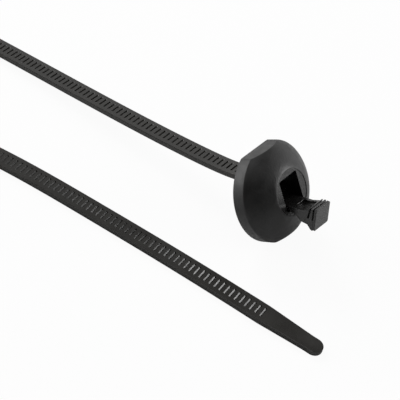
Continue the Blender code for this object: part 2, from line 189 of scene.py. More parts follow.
class TreeBuilder(NodeBuilder):
    """Builds one Geometry Nodes tree whose sizes are named inputs."""

    def __init__(self, name: str, kinds: dict[str, str]) -> None:
        """Starts a tree with its inputs.

        Args:
            name: The tree's name.
            kinds: The kind of each named input.
        """
        super().__init__(bpy.data.node_groups.new(name, "GeometryNodeTree"))
        for way in ("INPUT", "OUTPUT"):
            self.tree.interface.new_socket("Geometry", in_out=way, socket_type="NodeSocketGeometry")
        self.entry = self.node("NodeGroupInput")
        self.exit = self.node("NodeGroupOutput")
        self.identifiers: dict[str, str] = {}
        self.inputs = [self.named_input(label, kind) for label, kind in kinds.items()]

    def named_input(self, name: str, kind: str) -> NodeSocket:
        """Adds a named input to the tree.

        Args:
            name: The input's name.
            kind: Its socket type without the NodeSocket prefix.

        Returns:
            The socket that gives its value inside the tree.
        """
        socket = self.tree.interface.new_socket(name, in_out="INPUT", socket_type="NodeSocket" + kind)
        self.identifiers[name] = socket.identifier
        return self.entry.outputs[name]

    def vector_maths(self, operation: str, one: object, two: object) -> NodeSocket:
        """Adds a Vector Math node and gives its vector; SCALE takes a number as its second value."""
        second = "Scale" if operation == "SCALE" else 1
        return self.socket("Vector", "ShaderNodeVectorMath", {0: one, second: two}, operation=operation)

    def vector(self, **parts: NodeSocket) -> NodeSocket:
        """Gives a vector with the named parts X, Y and Z."""
        return self.socket("Vector", "ShaderNodeCombineXYZ", parts)

    def position(self) -> NodeSocket:
        """Gives each point's position."""
        return self.socket("Position", "GeometryNodeInputPosition")

    def shape_of(self, source: NodeSocket) -> NodeSocket:
        """Gives the geometry of an object input."""
        return self.socket("Geometry", "GeometryNodeObjectInfo", {"Object": source})

    def curve_of(self, source: NodeSocket) -> NodeSocket:
        """Gives the chain of edges of an object input as a curve."""
        return self.socket("Curve", "GeometryNodeMeshToCurve", {"Mesh": self.shape_of(source)})

    def merged(self, shape: NodeSocket, gap: NodeSocket) -> NodeSocket:
        """Gives a geometry whose points are merged where they lie within a gap."""
        return self.socket("Geometry", "GeometryNodeMergeByDistance", {"Geometry": shape, "Distance": gap})

    def moved(self, shape: NodeSocket, place: NodeSocket) -> NodeSocket:
        """Gives a geometry whose points are moved to new places."""
        return self.socket("Geometry", "GeometryNodeSetPosition", {"Geometry": shape, "Position": place})

    def finish(self, geometry: NodeSocket) -> None:
        """Ends the tree in Realize Instances and Set Material.

        Args:
            geometry: The geometry to hand out.
        """
        finish = self.named_input("Finish", "Material")
        real = self.socket("Geometry", "GeometryNodeRealizeInstances", {"Geometry": geometry})
        dressed = self.socket("Geometry", "GeometryNodeSetMaterial", {"Geometry": real, "Material": finish})
        self.feed(self.exit, {"Geometry": dressed})

    def run(self, base: Mesh, values: dict[str, object]) -> Mesh:
        """Runs the tree on a mesh.

        Args:
            base: The mesh that goes in.
            values: A value for each named input.

        Returns:
            The plain mesh that comes out.
        """
        carrier = add_object("carrier", base)
        modifier = carrier.modifiers.new("tree", "NODES")
        modifier.node_group = self.tree
        for name, value in values.items():
            modifier[self.identifiers[name]] = value
        mesh = plain_mesh(carrier)
        bpy.data.objects.remove(carrier)
        return mesh


def plain_mesh(obj: Object) -> Mesh:
    """Gives the mesh that an object's modifiers make.

    Args:
        obj: The object.

    Returns:
        A new mesh with nothing left to evaluate.
    """
    bpy.context.view_layer.update()
    graph = bpy.context.evaluated_depsgraph_get()
    return bpy.data.meshes.new_from_object(obj.evaluated_get(graph))


def add_object(name: str, data: bpy.types.ID) -> Object:
    """Adds an object to the scene.

    Args:
        name: The object's name.
        data: Its mesh, camera or lamp.

    Returns:
        The new object.
    """
    obj = bpy.data.objects.new(name, data)
    bpy.context.scene.collection.objects.link(obj)
    return obj


def helper(name: str, mesh: Mesh) -> Object:
    """Makes an object that another piece needs while it is built.

    Args:
        name: The object's name.
        mesh: Its mesh.

    Returns:
        The new object, hidden from the render.
    """
    obj = add_object(name, mesh)
    obj.hide_render = True
    return obj


def guide_line(name: str, points: Sequence[Point]) -> Object:
    """Makes a helper that is a chain of edges through points.

    Args:
        name: The object's name.
        points: The points in order.

    Returns:
        The new object.
    """
    chain = bpy.data.meshes.new(name)
    chain.from_pydata(points, [(i, i + 1) for i in range(len(points) - 1)], [])
    return helper(name, chain)


def mesh_from(bm: bmesh.types.BMesh, name: str, outward: bool = True) -> Mesh:
    """Turns a bmesh into a mesh and frees it.

    Args:
        bm: The bmesh.
        name: The mesh's name.
        outward: Whether its faces are turned outwards.

    Returns:
        The new mesh.
    """
    if outward:
        bmesh.ops.recalc_face_normals(bm, faces=bm.faces)
    mesh = bpy.data.meshes.new(name)
    bm.to_mesh(mesh)
    bm.free()
    return mesh


def join_rings(
    bm: bmesh.types.BMesh,
    rings: Sequence[Sequence[Point]],
    caps: tuple[bool, bool] = (True, True),
    closed: bool = True,
) -> bmesh.types.BMesh:
    """Adds a skin through rings of points to a bmesh.

    Args:
        bm: The bmesh.
        rings: The rings, with as many points each.
        caps: Whether the first and the last ring get a face.
        closed: Whether each ring's last point joins its first.

    Returns:
        The same bmesh.
    """
    rows = [[bm.verts.new(point) for point in ring] for ring in rings]
    for one, two in zip(rows, rows[1:]):
        for i in range(len(one) if closed else len(one) - 1):
            j = (i + 1) % len(one)
            bm.faces.new((one[i], one[j], two[j], two[i]))
    if caps[0]:
        bm.faces.new(list(reversed(rows[0])))
    if caps[1]:
        bm.faces.new(rows[-1])
    return bm


def loft_mesh(name: str, rings: Sequence[Sequence[Point]]) -> Mesh:
    """Makes a body through closed rings of points, with a flat end at each side."""
    bm = bmesh.new()
    rows = [[bm.verts.new(point) for point in ring] for ring in rings]
    for one, two in zip(rows, rows[1:]):
        for i in range(len(one)):
            j = (i + 1) % len(one)
            bm.faces.new((one[i], one[j], two[j], two[i]))
    bm.faces.new(rows[0])
    bm.faces.new(rows[-1])
    return mesh_from(bm, name)


def prism_mesh(name: str, outline: Sequence[Pair], width: float) -> Mesh:
    """Makes a prism from an outline in n and u, with the given width across its middle."""
    bm = bmesh.new()
    near = [bm.verts.new((n, -width / 2, u)) for n, u in outline]
    far = [bm.verts.new((n, width / 2, u)) for n, u in outline]
    bm.faces.new(near)
    bm.faces.new(list(reversed(far)))
    for i in range(len(outline)):
        j = (i + 1) % len(outline)
        bm.faces.new((near[i], near[j], far[j], far[i]))
    return mesh_from(bm, name)


def box_mesh(name: str, low: Sequence[float], high: Sequence[float]) -> Mesh:
    """Makes a box between two corners.

    Args:
        name: The mesh's name.
        low: Its lowest corner.
        high: Its highest corner.

    Returns:
        The new mesh.
    """
    bm = bmesh.new()
    bmesh.ops.create_cube(bm, size=1.0)
    bmesh.ops.scale(bm, vec=Vector(high) - Vector(low), verts=bm.verts)
    bmesh.ops.translate(bm, vec=(Vector(high) + Vector(low)) / 2, verts=bm.verts)
    return mesh_from(bm, name)


def rounded_outline(low: Pair, high: Pair, radius: float, steps: int = 8) -> list[Pair]:
    """Draws a rectangle with rounded corners.

    Args:
        low: Its lowest corner, across and up.
        high: Its highest corner.
        radius: The corners' radius.
        steps: How many steps each corner takes.

    Returns:
        The outline's (across, up) points in order.
    """
    left, right = low[0] + radius, high[0] - radius
    bottom, top = low[1] + radius, high[1] - radius
    points = []
    for quarter, (a, b) in enumerate(((right, top), (left, top), (left, bottom), (right, bottom))):
        for step in range(steps + 1):
            angle = math.pi / 2 * (quarter + step / steps)
            points.append((a + radius * math.cos(angle), b + radius * math.sin(angle)))
    return points


@dataclass(frozen=True)
class MouldSkin:
    """How a shape cut from plain solids gets the small soft edges of a moulding."""

    voxel: float
    smoothing: int
    keep: float
    strength: float = 0.5

    def boolean(self, body: Object, steps: Steps) -> list[Object]:
        """Adds a Boolean for each step.

        Args:
            body: The object that is cut or joined to.
            steps: Boolean operation, mesh and its place, in order.

        Returns:
            The helper objects, to remove when the mesh is made.
        """
        tools = []
        for operation, mesh, place in steps:
            tool = helper(mesh.name, mesh)
            tool.matrix_world = place
            tools.append(tool)
            cut = body.modifiers.new(mesh.name, "BOOLEAN")
            cut.operation = operation
            cut.object = tool
            cut.solver = "EXACT"
        return tools

    def soften(self, name: str, base: Mesh, steps: Steps, crisp: Steps = ()) -> Mesh:
        """Joins and cuts a shape, rounds all its edges, then makes the last cuts.

        Args:
            name: The new mesh's name.
            base: The shape to start from.
            steps: Boolean operation, mesh and its place, in order.
            crisp: The same for the cuts whose edges stay crisp.

        Returns:
            The finished mesh.
        """
        body = helper(name, base)
        tools = self.boolean(body, steps)
        grid = body.modifiers.new("grid", "REMESH")
        grid.mode = "VOXEL"
        grid.voxel_size = self.voxel
        grid.adaptivity = 0.0
        soft = body.modifiers.new("soft", "SMOOTH")
        soft.factor = self.strength
        soft.iterations = self.smoothing
        thin = body.modifiers.new("thin", "DECIMATE")
        thin.ratio = self.keep
        tools += self.boolean(body, crisp)
        mesh = plain_mesh(body)
        mesh.name = name
        for obj in [body, *tools]:
            bpy.data.objects.remove(obj)
        return mesh


@dataclass(frozen=True)
class ButtonPlace:
    """Where the button stands, from the record's mount on its flat back."""

    position: Point
    facing: Point
    mount_below_axis: float = 0.006

    @classmethod
    def from_record(cls, record: dict) -> "ButtonPlace":
        """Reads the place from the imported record's mount on the button's back."""
        mount = next(m for m in record["mounts"] if m["name"] == "back_face")
        return cls(tuple(mount["pos_m"]), tuple(mount["axis"]))

    def matrix(self) -> Matrix:
        """Gives the matrix from the button's own n, y, u to the row's frame.

        Returns:
            The matrix.
        """
        axis = -Vector(self.facing).normalized()
        across = Vector((0.0, 1.0, 0.0))
        up = axis.cross(across).normalized()
        place = Matrix((axis, across, up)).transposed().to_4x4()
        place.translation = Vector(self.position) + up * self.mount_below_axis
        return place


def show(name: str, mesh: Mesh, material: Material) -> None:
    """Makes a finished piece of the tie and ties it to the frame.

    Args:
        name: The piece's name.
        mesh: Its mesh, already in place.
        material: Its finish.
    """
    mesh.materials.clear()
    mesh.materials.append(material)
    piece = add_object(name, mesh)
    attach(piece, BODY)
    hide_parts(NODE)
    LOG.info("%s: %d faces", name, len(mesh.polygons))


@dataclass
class ButtonHead:
    """The domed button with two flats, its aperture, the tail's slot and the recess of its face."""

    place: Matrix
    diameter: float = 0.0222
    across_flats: float = 0.0200
    rim_depth: float = 0.0028
    depth: float = 0.0071
    plateau: float = 0.0104
    fullness: float = 1.24
    edge: float = 0.00022
    rings: int = 40
    segments: int = 256
    aperture_width: float = 0.0062
    aperture_height: float = 0.0073
    aperture_rise: float = 0.0001
    aperture_corner: float = 0.00045
    back_wall: float = 0.0012
    slot_width: float = 0.0055
    slot_height: float = 0.0015
    roof_drop: float = 0.0018
    root_wall: float = 0.0009
    recess_depth: float = 0.00012
    recess_rim: float = 0.0001
    recess_segments: int = 192
    edge_steps: int = 4
    merge_gap: float = 1e-7
    least_edge: float = 1e-8
    mask_gap: float = 0.00001
    sharp: float = math.radians(35)

    def roof(self, n: float) -> float:
        """Gives the height of the aperture's sloping roof, n in from the back."""
        top = self.aperture_rise + self.aperture_height / 2
        return top - self.roof_drop * (1 - n / self.depth)

    def floor(self) -> float:
        """Gives the height of the aperture's floor."""
        return self.aperture_rise - self.aperture_height / 2

    def outline(self) -> list[Pair]:
        """Gives the turned outline, from the back's centre round to the plateau's.

        Returns:
            (n, r) points, with the rim's edges rounded.
        """
        rim = self.diameter / 2
        top = self.plateau / 2
        points = [(0.0, 0.0), (0.0, rim * 0.5), (0.0, rim - self.edge)]
        for step in range(1, self.edge_steps + 1):
            angle = math.pi / 2 * step / self.edge_steps
            points.append((self.edge * (1 - math.cos(angle)), rim - self.edge * (1 - math.sin(angle))))
        points.append((self.rim_depth * 0.5, rim))
        for step in range(self.rings + 1):
            angle = math.pi / 2 * step / self.rings
            radius = top + (rim - top) * math.cos(angle) ** (2 / self.fullness)
            n = self.rim_depth + (self.depth - self.rim_depth) * math.sin(angle) ** (2 / self.fullness)
            points.append((n, radius))
        points.append((self.depth, top * 0.5))
        points.append((self.depth, 0.0))
        return points

    def turning_tree(self) -> TreeBuilder:
        """Builds the tree that turns an outline round the button's axis.

        Returns:
            The tree, whose input geometry is a grid of unit size.
        """
        builder = TreeBuilder("turned_body", {"Outline": "Object", "Merge Distance": "Float"})
        outline, gap = builder.inputs
        share, turn, _ = builder.parts(builder.position())
        feeds = {"Curves": builder.curve_of(outline), "Factor": share}
        read = builder.socket("Position", "GeometryNodeSampleCurve", feeds, mode="FACTOR", data_type="FLOAT")
        n, radius, _ = builder.parts(read)
        angle = builder.maths("MULTIPLY", turn, 2 * math.pi)
        across = builder.maths("MULTIPLY", radius, builder.maths("COSINE", angle))
        upward = builder.maths("MULTIPLY", radius, builder.maths("SINE", angle))
        turned = builder.moved(builder.entry.outputs["Geometry"], builder.vector(X=n, Y=across, Z=upward))
        builder.finish(builder.merged(turned, gap))
        return builder

    def turned_body(self, material: Material) -> Mesh:
        """Turns the outline into the button's plain body.

        Args:
            material: The finish that the tree sets.

        Returns:
            A closed mesh in the button's frame.
        """
        points = self.outline()
        guide = guide_line("button_outline", [(n, r, 0.0) for n, r in points])
        lengths = [math.dist(a, b) for a, b in zip(points, points[1:])]
        total = sum(lengths)
        factors = [sum(lengths[:i]) / total for i in range(len(points))]
        turns = [i / self.segments for i in range(self.segments + 1)]
        rows = [[(factor, turn, 0.0) for turn in turns] for factor in factors]
        grid = mesh_from(join_rings(bmesh.new(), rows, caps=(False, False), closed=False), "button_grid")
        values = {"Outline": guide, "Merge Distance": self.merge_gap, "Finish": material}
        mesh = self.turning_tree().run(grid, values)
        bpy.data.objects.remove(guide)
        bm = bmesh.new()
        bm.from_mesh(mesh)
        bmesh.ops.dissolve_degenerate(bm, edges=bm.edges, dist=self.least_edge)
        return mesh_from(bm, "button_body")

    def cutters(self) -> Steps:
        """Gives what shapes the turned body before its edges are softened: the flats and the tail's slot.

        Returns:
            Boolean operation, mesh and place of each.
        """
        still = Matrix.Identity(4)
        half = self.across_flats / 2
        wide = self.diameter
        flats = box_mesh("flats", (-wide, -wide, -half), (wide, wide, half))
        side = self.slot_width / 2
        top = self.roof(0)
        low = (-OVERSHOOT, -side, top - self.slot_height)
        slot = box_mesh("tail_slot", low, (self.back_wall * 1.5, side, top))
        return [("INTERSECT", flats, still), ("DIFFERENCE", slot, still)]

    def crisp_cutters(self) -> Steps:
        """Gives what is cut last, with crisp edges: the mouth and the recess round it.

        Returns:
            Boolean operation, mesh and place of each.
        """
        still = Matrix.Identity(4)
        side = self.aperture_width / 2
        past = self.depth + OVERSHOOT
        rings = []
        for n in (self.back_wall, self.depth, past):
            top = self.roof(min(n, self.depth))
            outline = rounded_outline((-side, self.floor()), (side, top), self.aperture_corner)
            rings.append([(n, y, u) for y, u in outline])
        mouth = loft_mesh("mouth", rings)
        radius = self.plateau / 2 - self.recess_rim
        turns = [2 * math.pi * (step + 0.5) / self.recess_segments for step in range(self.recess_segments)]
        rings = []
        for n in (self.depth - self.recess_depth, past):
            rings.append([(n, radius * math.cos(turn), radius * math.sin(turn)) for turn in turns])
        return [("DIFFERENCE", loft_mesh("face_recess", rings), still), ("DIFFERENCE", mouth, still)]

    def mark_polished(self, mesh: Mesh) -> None:
        """Marks the recessed face round the mouth, which is smoother than the dome.

        Args:
            mesh: The button's mesh, in its own frame.
        """
        points = np.empty(len(mesh.vertices) * 3)
        mesh.vertices.foreach_get("co", points)
        points = points.reshape(-1, 3)
        floor = np.abs(points[:, 0] - self.depth + self.recess_depth) < self.mask_gap
        inside = np.hypot(points[:, 1], points[:, 2]) < self.plateau / 2
        mask = mesh.attributes.new(POLISHED, "FLOAT", "POINT")
        mask.data.foreach_set("value", (floor & inside).astype(np.float32))

    def build(self, finish: NylonFinish, skin: MouldSkin) -> None:
        """Builds and dresses the button.

        Args:
            finish: Its finish.
            skin: How its edges are softened.
        """
        material = finish.material()
        mesh = skin.soften("button", self.turned_body(material), self.cutters(), self.crisp_cutters())
        self.mark_polished(mesh)
        mesh.transform(self.place)
        mesh.shade_smooth()
        mesh.set_sharp_from_angle(angle=self.sharp)
        show("button", mesh, material)


@dataclass
class ReleaseLever:
    """The lever through the aperture: hinge, pawl, railed arm, grooved neck and bare end plate."""

    button: ButtonHead
    side_clearance: float = 0.0006
    twist: float = math.radians(3)
    hinge_thickness: float = 0.0008
    hinge_length: float = 0.0009
    floor_clearance: float = 0.0006
    tooth_count: int = 1
    tooth_pitch: float = 0.00125
    tooth_ramp: float = 0.70
    tooth_height: float = 0.00025
    tail_thickness: float = 0.0012
    tail_clearance: float = 0.0001
    step_reach: float = 0.0050
    step_below_axis: float = 0.0019
    toe: float = 0.0005
    arm_below_axis: float = 0.0029
    arm_rise_at_mouth: float = 0.00065
    arm_slope_length: float = 0.0029
    arm_thickness_at_mouth: float = 0.00105
    arm_underside: tuple[Pair, ...] = (
        (0.0005, 0.0008),
        (0.0014, 0.0013),
        (0.0022, 0.0027),
        (0.0038, 0.0034),
        (0.0041, 0.0041),
        (0.0043, 0.0046),
        (0.0047, 0.0049),
    )
    arm_tip_length: float = 0.0008
    arm_tip_rise: float = 0.0003
    tray_start: float = 0.0011
    tray_length: float = 0.0034
    tray_width: float = 0.0026
    tray_shift: float = 0.0004
    tray_depth: float = 0.0003
    plate_reach: float = 0.0067
    plate_rise: float = 0.0001
    plate_height: float = 0.0052
    plate_thickness: float = 0.0006
    plate_overhang: float = 0.0001
    plate_corner: float = 0.0004
    plate_lean: float = math.radians(22)
    plate_bite: float = 0.00003
    rib_count: int = 1
    rib_thickness: float = 0.0004
    groove_width: float = 0.00036
    groove_splay: float = math.radians(10)
    groove_top_depth: float = 0.0007
    groove_side_depth: float = 0.0006
    groove_length: float = 0.0028

    def width(self) -> float:
        """Gives the lever's width across."""
        return self.button.aperture_width - 2 * self.side_clearance

    def place(self) -> Matrix:
        """Gives the matrix from the lever's own n, y, u to the row's frame, with its small twist."""
        top = Matrix.Translation((0.0, 0.0, -self.arm_below_axis))
        return self.button.place @ top @ Matrix.Rotation(-self.twist, 4, "X") @ top.inverted()

    def plate_place(self) -> Matrix:
        """Gives the matrix of the end plate: x out of its face, z up it, from its inner upper edge."""
        corner = (self.button.depth + self.plate_reach, 0.0, self.plate_rise - self.arm_below_axis)
        return Matrix.Translation(corner) @ Matrix.Rotation(self.plate_lean, 4, "Y")

    def on_plate(self, out: float, up: float) -> Pair:
        """Gives (n, u) in the middle plane, out of the end plate's inner face and up from its top."""
        point = self.plate_place() @ Vector((out, 0.0, up))
        return point.x, point.z

    def outline(self) -> list[Pair]:
        """Gives the lever's side view as far as the end plate.

        Returns:
            (n, u) corners in order.
        """
        button = self.button
        back = button.back_wall
        pawl_back = back + self.hinge_length
        pawl_floor = button.floor() + self.floor_clearance
        hinge_low = pawl_floor + self.hinge_thickness
        hinge_top = hinge_low + self.hinge_thickness
        arm_top = -self.arm_below_axis
        mouth_top = arm_top + self.arm_rise_at_mouth
        tail_face = button.roof(pawl_back) - self.tail_thickness - self.tail_clearance
        neck = self.rib_count * (self.rib_thickness + self.groove_width) + self.groove_width
        tip = self.on_plate(-neck, 0.0)[0]
        teeth = []
        for tooth in range(self.tooth_count):
            start = pawl_back + tooth * self.tooth_pitch
            crest = tail_face + button.roof(start) - button.roof(pawl_back)
            teeth.append((start, crest - self.tooth_height))
            teeth.append((start + self.tooth_pitch * self.tooth_ramp, crest))
        pawl_front = pawl_back + self.tooth_count * self.tooth_pitch
        return [
            (back / 2, hinge_low),
            (pawl_back, hinge_low),
            (pawl_back + self.floor_clearance, pawl_floor),
            (button.depth - self.toe, pawl_floor),
            (button.depth, mouth_top - self.arm_thickness_at_mouth),
            *((button.depth + beyond, arm_top - below) for beyond, below in self.arm_underside),
            self.on_plate(2 * self.plate_bite, self.plate_corner / 2 - self.plate_height),
            self.on_plate(2 * self.plate_bite, -self.plate_bite),
            (tip, arm_top + self.arm_tip_rise),
            (tip - self.arm_tip_length / 2, arm_top + self.arm_tip_rise),
            (tip - self.arm_tip_length, arm_top),
            (button.depth + self.arm_slope_length, arm_top),
            (button.depth, mouth_top),
            (self.step_reach, -self.step_below_axis),
            (pawl_front, -self.step_below_axis),
            (pawl_front, teeth[-1][1] - self.tooth_height),
            *reversed(teeth),
            (pawl_back, hinge_top),
            (back / 2, hinge_top),
        ]

    def tray(self) -> Mesh:
        """Makes the cutter of the shallow tray along the arm's top.

        Returns:
            The cutter's mesh.
        """
        start = self.button.depth + self.tray_start
        low = (start, self.tray_shift - self.tray_width / 2, -self.arm_below_axis - self.tray_depth)
        high = (
            start + self.tray_length,
            self.tray_shift + self.tray_width / 2,
            -self.arm_below_axis + self.arm_rise_at_mouth,
        )
        return box_mesh("arm_tray", low, high)

    def steps(self) -> Steps:
        """Gives what is cut from the lever's side shape and joined to it.

        Returns:
            Boolean operation, mesh and place of each.
        """
        steps = [("DIFFERENCE", self.tray(), Matrix.Identity(4))]
        web = self.width() / 2 - self.groove_side_depth
        top = self.arm_tip_rise - self.plate_rise - self.groove_top_depth
        side = self.width()
        outline = [
            (-side, -self.groove_length),
            (-web, -self.groove_length),
            (-web, top),
            (web, top),
            (web, -self.groove_length),
            (side, -self.groove_length),
            (side, side),
            (-side, side),
        ]
        for gap in range(self.rib_count + 1):
            middle = self.plate_bite - self.groove_width / 2 - gap * (self.groove_width + self.rib_thickness)
            place = Matrix.Translation((middle, 0.0, 0.0)) @ Matrix.Rotation(gap * self.groove_splay, 4, "Y")
            groove = prism_mesh(f"groove_{gap}", outline, self.groove_width)
            turned = self.plate_place() @ place @ Matrix.Rotation(math.pi / 2, 4, "Z")
            steps.append(("DIFFERENCE", groove, turned))
        side = self.width() / 2 + self.plate_overhang
        outline = rounded_outline((-side, -self.plate_height), (side, 0.0), self.plate_corner)
        faces = [[(out, y, up) for y, up in outline] for out in (0.0, self.plate_thickness)]
        steps.append(("UNION", loft_mesh("end_plate", faces), self.plate_place()))
        return steps

    def build(self, finish: NylonFinish, skin: MouldSkin) -> None:
        """Builds and dresses the lever.

        Args:
            finish: Its finish.
            skin: How its edges are softened.
        """
        side = prism_mesh("lever_side", self.outline(), self.width())
        mesh = skin.soften("release_lever", side, self.steps())
        mesh.transform(self.place())
        mesh.shade_smooth()
        show("release_lever", mesh, finish.material())


def distances_along(points: np.ndarray) -> np.ndarray:
    """Gives each point's distance along the line through them all."""
    return np.concatenate([[0.0], np.cumsum(np.linalg.norm(np.diff(points, axis=0), axis=1))])


def smooth_through(points: np.ndarray, first_slope: Pair, samples: int) -> np.ndarray:
    """Draws a smooth curve through points.

    Args:
        points: The points, one row each.
        first_slope: Direction in which the curve leaves the first point.
        samples: How many points the curve gets.

    Returns:
        The curve's points, one row each.
    """
    step = np.linalg.norm(np.diff(points, axis=0), axis=1)
    at = distances_along(points)
    count = len(points)
    rows = np.zeros((count, count))
    right = np.zeros((count, 2))
    rows[0, 0] = 1.0
    right[0] = first_slope
    for i in range(1, count - 1):
        rows[i, i - 1] = step[i]
        rows[i, i] = 2 * (step[i - 1] + step[i])
        rows[i, i + 1] = step[i - 1]
        before = (points[i] - points[i - 1]) / step[i - 1]
        after = (points[i + 1] - points[i]) / step[i]
        right[i] = 3 * (step[i] * before + step[i - 1] * after)
    rows[-1, -2:] = (1.0, 2.0)
    right[-1] = 3 * (points[-1] - points[-2]) / step[-1]
    slopes = np.linalg.solve(rows, right)
    where = np.linspace(0.0, at[-1], samples)
    i = np.clip(np.searchsorted(at, where, side="right") - 1, 0, count - 2)
    t = ((where - at[i]) / step[i])[:, None]
    h = step[i][:, None]
    start = (2 * t**3 - 3 * t**2 + 1) * points[i] + (t**3 - 2 * t**2 + t) * h * slopes[i]
    return start + (3 * t**2 - 2 * t**3) * points[i + 1] + (t**3 - t**2) * h * slopes[i + 1]


def smooth_step(value: np.ndarray, low: float, high: float) -> np.ndarray:
    """Rises smoothly from 0, where the value is low, to 1, where it is high."""
    t = np.clip((value - low) / (high - low), 0.0, 1.0)
    return t * t * (3 - 2 * t)


@dataclass
class StrapRoute:
    """How the strap lies: down from the button, round on its edge and back beside it."""

    place: Matrix
    half_flats: float
    root_base: float
    width: float = 0.0048
    thickness: float = 0.0012
    outward: tuple[Pair, ...] = (
        (-0.027, -0.0008),
        (-0.052, -0.0021),
        (-0.077, -0.0041),
        (-0.100, -0.0068),
    )
    loop_centre: Pair = (-0.1180, -0.0340)
    loop_radius: float = 0.0240
    loop_angles: tuple[float, ...] = (100, 130, 160, 190, 220, 250, 280, 300)
    homeward: tuple[Pair, ...] = (
        (-0.089, -0.0450),
        (-0.070, -0.0366),
        (-0.050, -0.0310),
        (-0.025, -0.0270),
        (0.0, -0.0239),
    )
    tail_tip: Pair = (0.0315, -0.0209)
    run_rise: float = 0.00775
    run_length: float = 0.1000
    twist_in: Pair = (0.078, 0.124)
    twist_out: Pair = (0.150, 0.090)
    samples: int = 3000

    def lean(self) -> float:
        """Gives how far the button leans back, in radians."""
        axis = self.place.to_3x3() @ Vector((1.0, 0.0, 0.0))
        return math.atan2(axis.z, axis.x)

    def plan(self, root: Vector) -> np.ndarray:
        """Gives the plan view that the strap's middle follows.

        Args:
            root: Where the strap leaves the button.

        Returns:
            The plan's points, one row each.
        """
        turns = np.radians(self.loop_angles)
        loop = self.loop_centre + self.loop_radius * np.column_stack([np.cos(turns), np.sin(turns)])
        through = [(root.x, root.y), *self.outward, *loop, *self.homeward, self.tail_tip]
        return smooth_through(np.array(through), (-1.0, 0.0), self.samples)

    def trace(self) -> tuple[np.ndarray, np.ndarray]:
        """Works out the strap's middle line and which way its toothed face looks.

        Returns:
            Points and unit face directions in the row's frame, one row each.
        """
        lean = self.lean()
        centre = Vector((0.0, 0.0, self.half_flats * math.cos(lean)))
        up = Vector((-math.sin(lean), 0.0, math.cos(lean)))
        root = centre + up * (self.root_base + self.thickness / 2)
        plan = self.plan(root)
        along = distances_along(plan)
        left = along[-1] - along
        rolled = smooth_step(along, *self.twist_in)
        unrolled = smooth_step(-left, -self.twist_out[0], -self.twist_out[1])
        bank = rolled * (1 - unrolled) * math.pi / 2
        rest = self.width / 2 * np.sin(bank) + self.thickness / 2 * np.cos(bank)
        hop = root.z - self.thickness / 2 - self.run_rise
        bend = hop / (math.tan(lean) - 2 * self.run_rise / self.run_length)
        lift = self.run_rise * np.clip(1 - along / self.run_length, 0.0, None) ** 2
        lift = lift + hop * np.exp(-along / bend)
        points = np.column_stack([plan, rest + lift])
        tangents = np.gradient(points, axis=0)
        tangents /= np.linalg.norm(tangents, axis=1)[:, None]
        outward = np.cross(tangents, (0.0, 0.0, 1.0))
        outward /= np.linalg.norm(outward, axis=1)[:, None]
        upright = np.cross(outward, tangents)
        faces = upright * np.cos(bank)[:, None] + outward * np.sin(bank)[:, None]
        shift = np.array(self.place.translation - centre)
        return points + shift, faces


